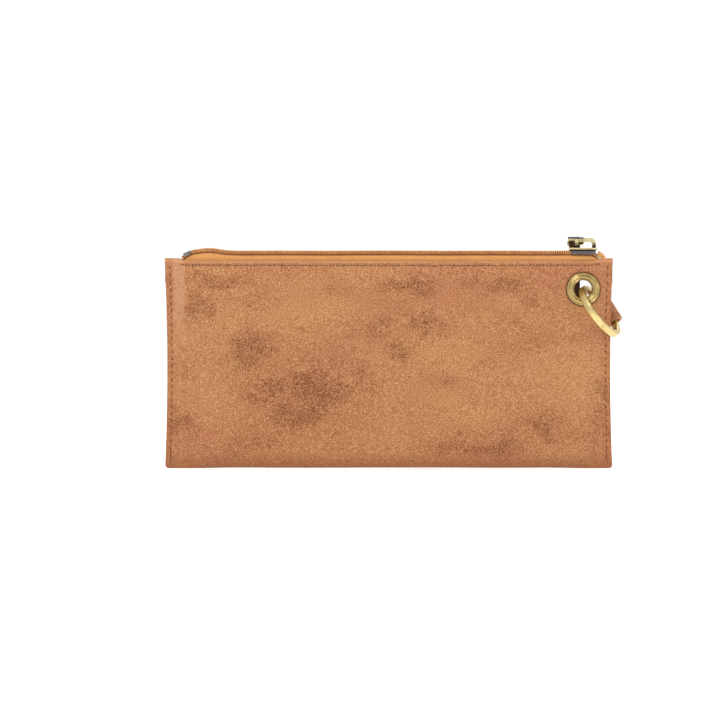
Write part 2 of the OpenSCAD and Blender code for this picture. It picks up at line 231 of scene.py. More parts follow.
class Nodes:
    """Short names for building one procedural material."""

    def __init__(self, name):
        self.mat = bpy.data.materials.new(name)
        self.mat.use_nodes = True
        self.tree = self.mat.node_tree
        self.tree.nodes.clear()
        self.out = self.new("ShaderNodeOutputMaterial")
        self.bsdf = self.new("ShaderNodeBsdfPrincipled")
        self.link(self.bsdf.outputs[0], self.out.inputs[0])
        self.coord = self.new("ShaderNodeTexCoord").outputs["Object"]

    def new(self, kind, **values):
        node = self.tree.nodes.new(kind)
        for key, value in values.items():
            setattr(node, key, value)
        return node

    def link(self, a, b):
        self.tree.links.new(a, b)

    def put(self, socket, value):
        if isinstance(value, bpy.types.NodeSocket):
            self.link(value, socket)
        else:
            socket.default_value = value

    def feed(self, node, **inputs):
        """Links or sets inputs by name, with _ for a space."""
        for key, value in inputs.items():
            self.put(node.inputs[key.replace("_", " ")], value)
        return node

    def set(self, **values):
        self.feed(self.bsdf, **values)

    def scaled(self, scale, rotation=(0, 0, 0)):
        node = self.feed(self.new("ShaderNodeMapping"), Vector=self.coord, Scale=scale, Rotation=rotation)
        return node.outputs[0]

    def noise(self, size_mm, detail=3.0, rough=0.5, distort=0.0, vector=None, out="Fac"):
        node = self.feed(self.new("ShaderNodeTexNoise"), Vector=vector or self.coord,
                         Scale=1000.0 / size_mm, Detail=detail, Roughness=rough, Distortion=distort)
        return node.outputs[out]

    def voronoi(self, size_mm, feature="F1", vector=None):
        node = self.new("ShaderNodeTexVoronoi", feature=feature)
        self.feed(node, Vector=vector or self.coord, Scale=1000.0 / size_mm)
        return node.outputs["Distance"]

    def wave(self, direction, scale):
        node = self.new("ShaderNodeTexWave", bands_direction=direction)
        return self.feed(node, Vector=self.coord, Scale=scale).outputs["Fac"]

    def ramp(self, value, low, high, a=0.0, b=1.0):
        """A smooth step from a at low to b at high."""
        node = self.new("ShaderNodeMapRange", interpolation_type="SMOOTHSTEP")
        self.feed(node, Value=value, From_Min=low, From_Max=high, To_Min=a, To_Max=b)
        return node.outputs[0]

    def math(self, op, a, b=0.0, kind="ShaderNodeMath", out=0):
        node = self.new(kind, operation=op)
        self.put(node.inputs[0], a)
        self.put(node.inputs[1], b)
        return node.outputs[out]

    def times(self, a, b):
        return self.math("MULTIPLY", a, b)

    def vector(self, op, a, b=(0, 0, 0), out=0):
        return self.math(op, a, b, "ShaderNodeVectorMath", out)

    def blend(self, fac, a, b, how="MIX"):
        node = self.new("ShaderNodeMix", data_type="RGBA", blend_type=how)
        self.put(node.inputs["Factor"], fac)
        self.put(node.inputs[6], a)
        self.put(node.inputs[7], b)
        return node.outputs[2]

    def bump(self, *layers):
        """layers are (height socket, strength, distance in mm), the coarsest first."""
        target = None
        for height, strength, distance in layers:
            node = self.new("ShaderNodeBump")
            self.feed(node, Strength=strength, Distance=distance * MM, Height=height)
            if target is not None:
                self.link(target, node.inputs["Normal"])
            target = node.outputs[0]
        self.set(Normal=target)

    def axis(self, index):
        node = self.new("ShaderNodeSeparateXYZ")
        self.link(self.coord, node.inputs[0])
        return node.outputs[index]


def srgb(r, g, b):
    """Linear colour from 0..255 display values."""
    def one(c):
        c /= 255.0
        return c / 12.92 if c <= 0.04045 else ((c + 0.055) / 1.055) ** 2.4
    return (one(r), one(g), one(b), 1.0)


# ---- leather

def soft_patch(m, place, x, z, rx, rz, turn):
    """1 in the middle of an oval patch on the panels, falling to 0 outside it."""
    away = m.vector("SUBTRACT", place, (x * MM, 0, z * MM))
    turned_round = m.new("ShaderNodeVectorRotate", rotation_type="Y_AXIS")
    m.feed(turned_round, Vector=away, Angle=math.radians(turn))
    near = m.vector("MULTIPLY", turned_round.outputs[0], (1 / (rx * MM), 0, 1 / (rz * MM)))
    return m.ramp(m.vector("LENGTH", near, out="Value"), 1.3, 0.0)


# Dark rubbed patches of the hide: centre x and z, half sizes in mm, turn in degrees, strength.
DARK_PATCHES = [
    (-80, 88, 26, 7, 4, 0.7), (-88, 77, 14, 9, 30, 0.75), (-66, 55, 14, 11, 20, 0.9),
    (-57, 38, 18, 12, 25, 0.85), (-32, 36, 26, 10, -12, 0.95), (-38, 27, 26, 9, 0, 0.8),
    (-14, 44, 18, 10, -25, 0.6), (8, 86, 26, 6, 3, 0.75), (48, 87, 26, 6, 0, 0.75),
    (2, 61, 18, 10, -35, 0.8), (16, 68, 20, 10, -20, 0.8), (25, 41, 12, 8, 0, 0.45),
    (-98, 20, 9, 12, 0, 0.6), (72, 21, 24, 10, -6, 0.75), (46, 9, 34, 7, -4, 0.7),
    (99, 32, 8, 22, 0, 0.55), (-62, 12, 24, 7, 0, 0.55), (66, 60, 14, 9, 0, 0.4),
    (-20, 84, 14, 6, 0, 0.5), (-96, 45, 8, 16, 0, 0.45),
]
# Bare lighter patches.
LIGHT_PATCHES = [
    (-38, 70, 32, 10, 6, 0.9), (-70, 68, 16, 8, 0, 0.6), (29, 27, 26, 12, -25, 0.9),
    (26, 54, 28, 12, -12, 0.9), (84, 46, 18, 14, 0, 0.6), (-84, 28, 14, 14, 0, 0.5),
    (60, 74, 26, 7, 0, 0.5), (0, 12, 20, 7, 0, 0.4),
]


def patch_sum(m, place, patches):
    """The strongest of the patches at each place."""
    total = None
    for *shape, strength in patches:
        one = m.times(soft_patch(m, place, *shape), strength)
        total = one if total is None else m.math("MAXIMUM", total, one)
    return total


def warped(m, reach_mm, size_mm):
    """The object's coordinates pushed about by a noise, so that patches get ragged outlines."""
    cloud = m.noise(size_mm, 4.0, 0.65, out="Color")
    centred = m.vector("SUBTRACT", cloud, (0.5, 0.5, 0.5))
    push = m.vector("MULTIPLY", centred, (reach_mm * MM,) * 3)
    return m.vector("ADD", m.coord, push)


# Overall depth of the leather's tone.
LEATHER_DEPTH = (0.78, 0.76, 0.72, 1.0)


def panel_wear(m, colour, small):
    """Marks that have a place on the pouch: painted shade along the bottom fold, dark rims, pale hem, worn
    strip, painted shadow round the eyelet's flange.
    """
    x, height = m.axis(0), m.axis(2)
    # painted shade: the leather darkens towards the bottom fold, where shade falls under it
    low = m.ramp(height, 9 * MM, 0.6 * MM, 0.0, 0.5)
    colour = m.blend(low, colour, srgb(140, 82, 50))
    rim = m.ramp(m.math("ABSOLUTE", x), HALF_W - 8 * MM, HALF_W - 0.5 * MM, 0.0, 0.28)
    colour = m.blend(rim, colour, srgb(162, 100, 66))
    hem = m.ramp(height, HEIGHT - 1.2 * MM, HEIGHT - 0.3 * MM, 0.0, 0.55)
    colour = m.blend(hem, colour, srgb(222, 162, 116))
    strip = m.times(m.ramp(x, -HALF_W + 9.6 * MM, -HALF_W + 8.6 * MM),
                    m.ramp(x, -HALF_W + 3.0 * MM, -HALF_W + 4.6 * MM))
    worn = m.times(strip, m.ramp(height, 50 * MM, 84 * MM, 0.0, 0.45))
    colour = m.blend(m.times(worn, m.ramp(small, 0.25, 0.55)), colour, srgb(218, 168, 132))
    # painted shadow: a dark ring on the leather just round the eyelet's flange
    in_plane = m.vector("MULTIPLY", m.coord, (1, 0, 1))
    reach = m.vector("DISTANCE", in_plane, (EYE_X, 0, EYE_Z), "Value")
    flange_shadow = m.ramp(reach, FLANGE_R + 1.1 * MM, FLANGE_R - 0.1 * MM, 0.0, 0.85)
    return m.blend(flange_shadow, colour, srgb(56, 32, 20))


def tan_leather(name, patches=True):
    """Distressed tan nubuck: smeared tone, rubbed dark speckle, fine cracks and pebble."""
    m = Nodes(name)
    smear = m.scaled((0.6, 1.0, 1.0), rotation=(0, 0.35, 0))
    cloud = m.noise(46, 4, 0.55, 0.6, smear)
    mid = m.noise(11, 5, 0.65, 0.5, smear)
    small = m.noise(3.6, 4, 0.65)
    fine = m.noise(0.72, 3, 0.7)
    grit = m.noise(0.36, 2, 0.7)
    cells = m.voronoi(0.95, "DISTANCE_TO_EDGE", m.scaled((1, 1, 1), (0.3, 0.2, 0.5)))

    base = m.blend(m.ramp(cloud, 0.3, 0.7), srgb(193, 129, 83), srgb(203, 142, 94))
    base = m.blend(m.ramp(m.noise(33, 3, 0.5, 0.2), 0.45, 0.72, 0.0, 0.8), base, srgb(190, 121, 86))
    rub = m.ramp(m.math("ADD", mid, m.times(small, 0.4)), 0.68, 0.98, 0.0, 0.8)
    if patches:
        place = warped(m, 26, 20)
        ragged = m.ramp(m.math("ADD", mid, m.times(small, 0.5)), 0.52, 0.92, 0.25, 1.0)
        dark = m.times(patch_sum(m, place, DARK_PATCHES), ragged)
        light = patch_sum(m, place, LIGHT_PATCHES)
        base = m.blend(m.times(light, 0.8), base, srgb(210, 151, 97))
        rub = m.math("MAXIMUM", m.times(rub, 0.6), dark)
    base = m.blend(m.times(rub, 0.5), base, srgb(166, 98, 56))
    speck = m.math("ADD", fine, m.times(grit, 0.6))
    speckle = m.times(m.ramp(speck, 0.80, 0.69), m.ramp(rub, 0.0, 0.8, 0.50, 1.0))
    colour = m.blend(speckle, base, srgb(128, 68, 36))
    colour = m.blend(m.times(m.ramp(speck, 0.83, 0.95), 0.60), colour, srgb(232, 184, 138))
    crack = m.times(m.ramp(cells, 0.16, 0.03), m.ramp(rub, 0.1, 0.7, 0.16, 0.65))
    colour = m.blend(crack, colour, srgb(100, 50, 26))
    if patches:
        colour = panel_wear(m, colour, small)
    colour = m.blend(1.0, colour, LEATHER_DEPTH, "MULTIPLY")
    m.set(Base_Color=colour, Roughness=m.ramp(speck, 0.6, 1.0, 0.80, 0.64),
          Specular_IOR_Level=0.25, Sheen_Weight=0.06, Sheen_Roughness=0.5)
    m.bump((cloud, 0.30, 0.6), (mid, 0.30, 0.3), (m.ramp(cells, 0.0, 0.12), 0.12, 0.06),
           (fine, 0.40, 0.10), (grit, 0.25, 0.05))
    return m.mat


def dark_leather():
    m = Nodes("dark_leather")
    mottle = m.noise(6, 4, 0.6)
    grain = m.voronoi(0.6)
    fine = m.noise(0.5, 3, 0.6)
    colour = m.blend(m.ramp(mottle, 0.3, 0.7), srgb(92, 54, 30), srgb(64, 35, 20))
    colour = m.blend(m.ramp(fine, 0.62, 0.8, 0.0, 0.5), colour, srgb(128, 84, 52))
    m.set(Base_Color=colour, Roughness=m.ramp(mottle, 0.3, 0.7, 0.42, 0.60))
    m.bump((grain, 0.35, 0.08), (fine, 0.3, 0.05))
    return m.mat


# ---- cloth, thread and nylon

WAVE_MM = 314       # from band to band of a wave at scale 1


def weave(name, light, dark, pitch_mm):
    m = Nodes(name)
    along, across = (m.wave(direction, WAVE_MM / pitch_mm) for direction in "XZ")
    cross = m.math("MAXIMUM", along, across)
    fuzz = m.noise(0.5, 3, 0.6)
    tone = m.noise(9, 3, 0.5)
    colour = m.blend(m.times(cross, 0.8), dark, light)
    colour = m.blend(m.ramp(tone, 0.35, 0.7, 0.0, 0.3), colour, dark)
    m.set(Base_Color=colour, Roughness=0.85, Sheen_Weight=0.2)
    m.bump((cross, 0.45, 0.08), (fuzz, 0.2, 0.04))
    return m.mat


def thread_material(name, light, dark):
    m = Nodes(name)
    twist = m.wave("DIAGONAL", 900)
    lint = m.noise(0.7, 3, 0.6)
    colour = m.blend(m.ramp(lint, 0.3, 0.7), dark, light)
    colour = m.blend(m.times(twist, 0.35), colour, dark)
    m.set(Base_Color=colour, Roughness=0.7)
    m.bump((twist, 0.4, 0.05))
    return m.mat


def nylon():
    m = Nodes("nylon_coil")
    tone = m.noise(4, 3, 0.5)
    lint = m.noise(0.4, 2, 0.5)
    m.set(Base_Color=m.blend(m.ramp(tone, 0.3, 0.7), srgb(214, 154, 90), srgb(196, 132, 72)),
          Roughness=m.ramp(lint, 0.3, 0.7, 0.38, 0.55), Subsurface_Weight=0.05)
    m.bump((lint, 0.15, 0.03))
    return m.mat


# ---- metals

def aged_metal(name, bright, shade, rough=(0.24, 0.45), dirt=0.5, brush=False):
    """Antiqued plating: polished high spots, brown patina in the low ones, light scratches."""
    m = Nodes(name)
    patina = m.noise(3.2, 5, 0.65, 0.4)
    spots = m.noise(0.7, 3, 0.6)
    vector = m.scaled((0.15, 1, 1)) if brush else m.scaled((0.4, 1, 0.6), (0.4, 0.7, 0.2))
    lines = m.noise(0.25, 2, 0.5, 0.0, vector)
    worn = m.new("ShaderNodeNewGeometry").outputs["Pointiness"]
    hollow = m.ramp(worn, 0.50, 0.46, 0.0, 0.8)
    edge = m.ramp(worn, 0.52, 0.60, 0.0, 0.5)
    amount = m.math("MAXIMUM", m.times(m.ramp(patina, 0.38, 0.72), dirt), hollow)
    colour = m.blend(amount, bright, shade)
    colour = m.blend(m.times(m.ramp(spots, 0.62, 0.75), 0.35), colour, shade)
    colour = m.blend(edge, colour, bright)
    streaks = m.math("ADD", lines, m.times(patina, 0.5))
    m.set(Base_Color=colour, Metallic=1.0, Roughness=m.ramp(streaks, 0.5, 0.95, *rough))
    m.bump((patina, 0.08, 0.08), (lines, 0.10, 0.02))
    return m.mat


def light_banded_metal(name, bands):
    """Metal banded by height in painted highlight and shade; bands are (height in mm, colour), the lowest
    first.
    """
    m = Nodes(name)
    worn = m.noise(1.4, 4, 0.6)
    lines = m.noise(0.25, 2, 0.5, 0.0, m.scaled((0.3, 1, 1)))
    height = m.math("ADD", m.axis(2), m.times(worn, 0.25 * MM))
    # bands of painted highlight and shade step with height
    colour = bands[0][1]
    for z, tone in bands[1:]:
        colour = m.blend(m.ramp(height, (z - 0.05) * MM, (z + 0.22) * MM), colour, tone)
    colour = m.blend(m.ramp(worn, 0.55, 0.75, 0.0, 0.45), colour, srgb(84, 70, 48))
    m.set(Base_Color=colour, Metallic=1.0, Roughness=m.ramp(lines, 0.3, 0.7, 0.25, 0.45))
    m.bump((worn, 0.10, 0.05), (lines, 0.10, 0.02))
    return m.mat


TAN = tan_leather("tan_leather")
STRAP_TAN = tan_leather("tan_leather_strap", patches=False)
DARK = dark_leather()
TAPE = weave("zip_tape_weave", srgb(221, 163, 96), srgb(186, 122, 62), 0.5)
CLOTH = weave("lining_weave", srgb(92, 74, 62), srgb(58, 45, 38), 0.6)
COIL = nylon()
THREAD_TOP = thread_material("thread_top", srgb(150, 96, 58), srgb(116, 68, 38))
# painted shade: the cords under the coils are dark for the shade in the gap between coil and tape
SHADED_CORD = thread_material("thread_cord_shade", srgb(142, 76, 34), srgb(96, 44, 20))
# painted shade: a dark brown for the insides of the needle holes
HOLE_SHADE = thread_material("stitch_hole_shade", srgb(58, 32, 20), srgb(34, 18, 12))
THREAD_SIDE = thread_material("thread_side", srgb(150, 72, 34), srgb(92, 42, 22))
THREAD_STRAP = thread_material("thread_strap", srgb(190, 84, 46), srgb(120, 50, 28))
BRASS = aged_metal("antique_brass", srgb(200, 180, 124), srgb(92, 74, 44))
RING_BRASS = aged_metal("ring_brass", srgb(220, 198, 136), srgb(142, 116, 66), (0.26, 0.42), 0.4, True)
EYELET_BRASS = aged_metal("eyelet_brass", srgb(196, 172, 114), srgb(104, 84, 50), (0.26, 0.42), 0.5)
# Painted light for the banded slider, bridge and link: GILT_HIGHLIGHT is a painted highlight, SOOT_SHADE a
# painted shade, and the grey and brass band colours between them are painted tones of faces in light and
# shade.
SLATE, SOOT_SHADE, GILT_HIGHLIGHT = srgb(104, 104, 112), srgb(44, 38, 34), srgb(222, 208, 158)
SLIDER_BRASS = light_banded_metal("slider_brass", [(98, srgb(106, 100, 100)), (102.1, SOOT_SHADE), (102.9, GILT_HIGHLIGHT)])
BRIDGE_BRASS = light_banded_metal("bridge_brass", [(103, SOOT_SHADE), (104.9, srgb(150, 132, 88)), (106.0, GILT_HIGHLIGHT)])
LINK_BANDS = [(104, GILT_HIGHLIGHT), (105.5, srgb(86, 76, 56)), (106.5, srgb(190, 174, 120)),
              (107.3, GILT_HIGHLIGHT), (107.85, SLATE)]
LINK_BRASS = light_banded_metal("link_brass", LINK_BANDS)
STEEL = aged_metal("dark_steel", srgb(128, 124, 122), srgb(52, 48, 48), (0.25, 0.45), 0.6)


# ---- the pouch's surface

def middle_half(z):
    if z < FULL_Z:
        return mix(BOTTOM_HALF, FULL_HALF, math.sin(math.pi / 2 * clamp01(z / FULL_Z)))
    return mix(FULL_HALF, MOUTH_HALF, ease((z - FULL_Z) / (SHOULDER_Z - FULL_Z) * 0.94))


def panel_half(x, z):
    """Half thickness of the pouch's outside: swollen in the middle, pinched at seams and eyelet."""
    up = clamp01((z - SHOULDER_Z) / (HEIGHT - SHOULDER_Z))
    run = mix(40 * MM, 9 * MM, up)
    edge = mix(SEAM_HALF, CORNER_HALF, up)
    s = clamp01((HALF_W - SEAM_MARGIN - abs(x)) / run)
    swell = 1 - (1 - s) ** 2
    free = mix(edge, middle_half(z), swell)
    reach = math.hypot(x - EYE_X, z - EYE_Z)
    return mix(EYE_HALF, free, ease((reach - FLANGE_R - 0.6 * MM) / (7 * MM)))


def drawn_x(x, z):
    v = z / HEIGHT
    return x * (1 - SIDE_DRAW / HALF_W * 4 * v * (1 - v))


def wobble(x, z, side):
    """Small unevenness of a used leather panel, none along the seams and at the eyelet."""
    p = Vector((x * 18, side * 3.1, z * 22))
    big = mnoise.noise(p) * 0.55 * MM
    small = mnoise.noise(p * 4.3) * 0.12 * MM
    calm = ease((HALF_W - 4 * MM - abs(x)) / (12 * MM)) * ease((HEIGHT - 1 * MM - z) / (10 * MM))
    calm *= ease(z / (14 * MM))
    calm *= ease((math.hypot(x - EYE_X, z - EYE_Z) - FLANGE_R) / (6 * MM))
    return (big + small) * calm


def seam_dent(x, z):
    """The leather is drawn in a little along its stitch rows."""
    side = abs(abs(x) - (HALF_W - SIDE_ROW))
    top = abs(z - (HEIGHT - TOP_ROW))
    dent = 0.22 * MM * math.exp(-(side / (0.8 * MM)) ** 2) if z > 1.5 * MM else 0.0
    if abs(x) < HALF_W - 7 * MM:
        dent += 0.28 * MM * math.exp(-(top / (0.8 * MM)) ** 2)
    return dent


def outside(x, z, side):
    """A point on the outside of the front (side -1) or back (side 1) panel."""
    y = panel_half(x, z) + wobble(x, z, side) - seam_dent(x, z)
    return Vector((drawn_x(x, z), side * y, z))


def top_lift(x):
    """The top edge stands a little higher at the corners and waves along its length."""
    corner = 1.1 * MM * ease((abs(x) - (HALF_W - 11 * MM)) / (8 * MM))
    return corner + 0.18 * MM * mnoise.noise(Vector((x * 30, 0.3, 0.7)))


def lifted(x, z, side):
    """A point on the outside, raised with the top edge above it."""
    p = outside(x, z, side)
    p.z += top_lift(x) * ease((z - HEIGHT + LIFT_RUN) / LIFT_RUN)
    return p


def fold_lift(x):
    """The bottom fold rises slightly between its resting places."""
    inner = ease((HALF_W - 12 * MM - abs(x)) / (20 * MM))
    return inner * (0.22 * MM + 0.2 * MM * mnoise.noise(Vector((x * 22, 5.3, 0.2))))


FOLD_STEPS = 8
FOLD_TOP = 5.0 * MM


def row_heights():
    """Heights down one panel, closer together at the top edge."""
    zs = [HEIGHT - 0.5 * MM, HEIGHT - 1.0 * MM, HEIGHT - 1.5 * MM, HEIGHT - TOP_ROW, HEIGHT - 2.7 * MM]
    z = HEIGHT - 3.6 * MM
    while z > FOLD_TOP + 0.9 * MM:
        zs.append(z)
        z -= 1.25 * MM
    zs.append(FOLD_TOP)
    return zs


def column_places():
    """Places across the panel, closer together at the side seams."""
    edge = [HALF_W - d * MM for d in (0.0, 0.45, 1.0, 1.6, 2.2, 2.8, 3.6, 4.8)]
    middle = np.linspace(-(HALF_W - 6.2 * MM), HALF_W - 6.2 * MM, 170)
    return [-e for e in edge] + list(middle) + edge[::-1]


def shell_profile(x):
    """Outside points at x from the front's top edge, round the fold, to the back's top edge."""
    zs = row_heights()
    h = panel_half(x, FOLD_TOP)
    fold = []
    for k in range(1, 2 * FOLD_STEPS):
        a = math.pi * k / (2 * FOLD_STEPS)
        y = -h * math.copysign(abs(math.cos(a)) ** 0.75, math.cos(a))
        z = FOLD_TOP * (1 - abs(math.sin(a)) ** 0.8)
        fold.append(Vector((drawn_x(x, max(z, 0)), y, z + fold_lift(x) * abs(math.sin(a)))))
    return [lifted(x, z, -1) for z in zs] + fold + [lifted(x, z, 1) for z in reversed(zs)]


def corner_round(p, x):
    """Rounds the bottom corners of the panel in front view."""
    r = 1.6 * MM
    over_x = abs(x) - (HALF_W - r)
    over_z = r - p.z
    if over_x > 0 and over_z > 0:
        d = math.hypot(over_x, over_z)
        if d > r:
            k = r / d
            p = p.copy()
            p.x = math.copysign(abs(p.x) - over_x * (1 - k), p.x)
            p.z = r - over_z * k
    return p


INNER_GAP = 0.42 * MM      # least distance of the inner face from the middle


def inward(profile, depth):
    """The profile moved inwards in its YZ plane by depth, for the leather's inner face."""
    out = []
    for i, p in enumerate(profile):
        a = profile[max(0, i - 1)]
        b = profile[min(len(profile) - 1, i + 1)]
        t = Vector((0, b.y - a.y, b.z - a.z)).normalized()
        q = p + Vector((0, -t.z, t.y)) * depth
        if (p.y < 0) == (q.y < 0) and abs(q.y) >= INNER_GAP:
            out.append(q)
        else:
            y = math.copysign(INNER_GAP, p.y if p.y else -1)
            out.append(Vector((q.x, y if p.z > 2 * MM else q.y, max(q.z, depth))))
    return out


def hem_roll(profile, end):
    """The top edge rolled over and down inside at one column; end 0 is the front's."""
    side, step = (-1, 1) if end == 0 else (1, -1)
    top = profile[end]
    depth = LEATHER_T + HEM_T
    rows = []
    for k in range(1, 6):
        a = math.pi * k / 6
        y = top.y - side * depth / 2 * (1 - math.cos(a))
        rows.append(Vector((top.x, y, top.z + 0.62 * MM * math.sin(a))))
    for k in range(8):
        below = profile[end + step * min(k + 1, HEM_JOIN)]
        half = max(abs(below.y) - depth, 0.30 * MM)
        rows.append(Vector((top.x, side * half, top.z - HEM_DEPTH * k / 7)))
    return rows


def cut_side(outer, inner, i, base):
    """The slightly bulged cut edge of column i, whose own points start at base."""
    n, m = len(outer), len(outer[0])
    bulge = Vector(((1 if i else -1) * 0.12 * MM, 0, 0))
    verts = [(p + q) / 2 + bulge for p, q in zip(outer[i], inner[i])]
    faces = []
    for j in range(m - 1):
        a, b = i * m + j, i * m + j + 1
        c, d = base + j, base + j + 1
        faces += [(a, b, d, c), (c, d, b + n * m, a + n * m)]
    return verts, faces


def pouch_shell():
    """One folded panel of leather with a turned-in top edge and rounded cut sides."""
    outer = [[corner_round(p, x) for p in shell_profile(x)] for x in column_places()]
    inner = [inward(profile, LEATHER_T) for profile in outer]
    n, m = len(outer), len(outer[0])
    verts = flat(outer) + flat(inner)
    faces = ring_strip(n, m) + [tuple(reversed(f)) for f in ring_strip(n, m, base=n * m)]
    for end in (0, m - 1):
        rows = [hem_roll(profile, end) for profile in outer]
        k = len(rows[0])
        base = len(verts)
        verts += flat(rows)
        faces += ring_strip(n, k, base=base)
        join = n * m + (HEM_JOIN if end == 0 else m - 1 - HEM_JOIN)
        for i in range(n - 1):
            faces.append((i * m + end, (i + 1) * m + end, base + (i + 1) * k, base + i * k))
        for i in range(n - 1):
            here = base + i * k + k - 1
            faces.append((here, here + k, join + (i + 1) * m, join + i * m))
    for i in (0, n - 1):
        edge, sides = cut_side(outer, inner, i, len(verts))
        verts += edge
        faces += sides
    shell = mesh_object("pouch_leather", verts, faces)
    open_round_hole(shell)
    return shell


def open_round_hole(obj):
    """Opens a layer round the eyelet's barrel; the rim is hidden under the flange and washer."""
    radius = HOLE_R + 1.4 * MM
    bm = bmesh.new()
    bm.from_mesh(obj.data)

    def reach(p):
        return math.hypot(p.x - EYE_X, p.z - EYE_Z)

    inside = [f for f in bm.faces if reach(f.calc_center_median()) < radius]
    bmesh.ops.delete(bm, geom=inside, context="FACES")
    for v in bm.verts:
        if v.is_boundary and reach(v.co) < radius + 1.2 * MM:
            k = radius / reach(v.co)
            v.co.x = EYE_X + (v.co.x - EYE_X) * k
            v.co.z = EYE_Z + (v.co.z - EYE_Z) * k
    bm.to_mesh(obj.data)
    bm.free()


# ---- linings and pocket

def lining_bag():
    """The cloth lining: a thin bag that hangs inside the leather from the hems."""
    xs = np.linspace(-(HALF_W - 3.2 * MM), HALF_W - 3.2 * MM, 70)
    zs = np.linspace(HEIGHT - 12 * MM, 3.0 * MM, 34)
    parts = []
    for side in (-1, 1):
        outer = []
        for x in xs:
            for z in zs:
                crease = 0.15 * MM * mnoise.noise(Vector((x * 60, side, z * 60)))
                depth = LEATHER_T + 0.20 * MM + abs(crease)
                y = max(panel_half(x, z) + wobble(x, z, side) - seam_dent(x, z) - depth, 0.28 * MM)
                outer.append(Vector((drawn_x(x, z), side * y, z)))
        inner = [Vector((v.x, v.y - side * 0.2 * MM, v.z)) for v in outer]
        parts.append(closed_sheet(outer, inner, len(xs), len(zs)))
    bag = mesh_object("lining_bag", *merge(parts))
    open_round_hole(bag)
    return bag


def card_pocket():
    """Slip pocket on the back lining: two plies, the upper edge of one below the other's."""
    lo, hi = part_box("card_pocket")
    parts = []
    for top, low, shift in ((hi[2], lo[2], 0.0), (hi[2] - 12 * MM, lo[2] + 1 * MM, 0.75 * MM)):
        xs = np.linspace(lo[0] + shift, hi[0] - shift, 40)
        zs = np.linspace(top, low, 22)
        outer = [Vector((x, panel_half(x, z) - 2.0 * MM - shift, z)) for x in xs for z in zs]
        inner = [v - Vector((0, 0.55 * MM, 0)) for v in outer]
        parts.append(closed_sheet(outer, inner, len(xs), len(zs)))
    return mesh_object("card_pocket_leather", *merge(parts))


# ---- zip

TAPE_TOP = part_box("zip_tape_back")[1][2]
COIL_Z = (coil_lo[2] + coil_hi[2]) / 2
ZIP_X0 = coil_lo[0]
ZIP_X1 = coil_hi[0]


def zip_path(x):
    """Height change of the chain at x: a hump and dive at the left, a dive at the right."""
    left = x - ZIP_X0
    hump = 1.25 * MM * math.exp(-((left - 12.5 * MM) / (7 * MM)) ** 2)
    dive = -2.9 * MM * ease((5.5 * MM - left) / (7 * MM))
    right = ZIP_X1 - x
    end = -1.9 * MM * ease((4.5 * MM - right) / (6 * MM))
    wave = 0.12 * MM * mnoise.noise(Vector((x * 35, 1.7, 0)))
    return hump + dive + end + wave


TAPE_T = 0.42 * MM
HEM_LEG = (88 * MM, 92 * MM, 96 * MM)      # heights of the tape inside the hem
# The tape's run from the mouth in to the coil: (y, depth below the tape's top), after the shoulder.
CROWN = ((2.35 * MM, 0.35 * MM), (1.75 * MM, 0.05 * MM), (1.0 * MM, 0.0), (0.45 * MM, 0.0))


def tape_line(x):
    """(y, z) of the tape at x: up inside the hem, over the mouth's edge and in to the coil."""
    depth = LEATHER_T + HEM_T + 0.1 * MM
    z_edge = HEIGHT + top_lift(x)
    leg_top = max(panel_half(x, HEIGHT) - depth, 0.8 * MM)
    shoulder = mix(leg_top, 2.8 * MM, 0.8)
    leg = [(max(panel_half(x, z) - depth, 0.62 * MM), z) for z in HEM_LEG]
    crown = [(shoulder, TAPE_TOP - 1.5 * MM), (shoulder - 0.10 * MM, TAPE_TOP - 0.9 * MM)]
    crown += [(y, TAPE_TOP - low) for y, low in CROWN]
    return leg + [(leg_top, z_edge)] + [(y, max(z + zip_path(x), z_edge - 2 * MM)) for y, z in crown]


def zip_tape(side):
    """Woven tape of the front (side -1) or the back."""
    xs = np.linspace(ZIP_X0 - 2.5 * MM, ZIP_X1 + 1.5 * MM, 260)
    outer, inner = [], []
    for x in xs:
        line = [Vector(p) for p in tape_line(x)]
        for k, (y, z) in enumerate(line):
            t = tangent(line, k)
            outer.append(Vector((x, side * y, z)))
            inner.append(Vector((x, side * (y - t.y * TAPE_T), z + t.x * TAPE_T)))
    name = "zip_tape_front_cloth" if side < 0 else "zip_tape_back_cloth"
    tape = mesh_object(name, *closed_sheet(outer, inner, len(xs), len(line)))
    open_round_hole(tape)
    return tape


COIL_PITCH = 1.04 * MM
COIL_STEPS = 14
END_TURNS = 30       # turns of the raised left end, which the slider presses flat


def coil_turns(end):
    """First and last turn of the coil's left end, or of the rest of it."""
    turns = int((ZIP_X1 - ZIP_X0) / COIL_PITCH)
    return (0, END_TURNS) if end else (END_TURNS, turns)


SHUT_PART = (84 * MM, 7 * MM)       # where the parting starts and how far it takes, zip shut
OPEN_PART = (-67 * MM, 6 * MM)      # the same, zip fully open


def parted(x):
    """1 where the coils' heads stand apart: round the slider's post, shut or fully open; else 0."""
    start, run = SHUT_PART
    end, back = OPEN_PART
    return max(ease((x - start) / run), ease((end - x) / back))


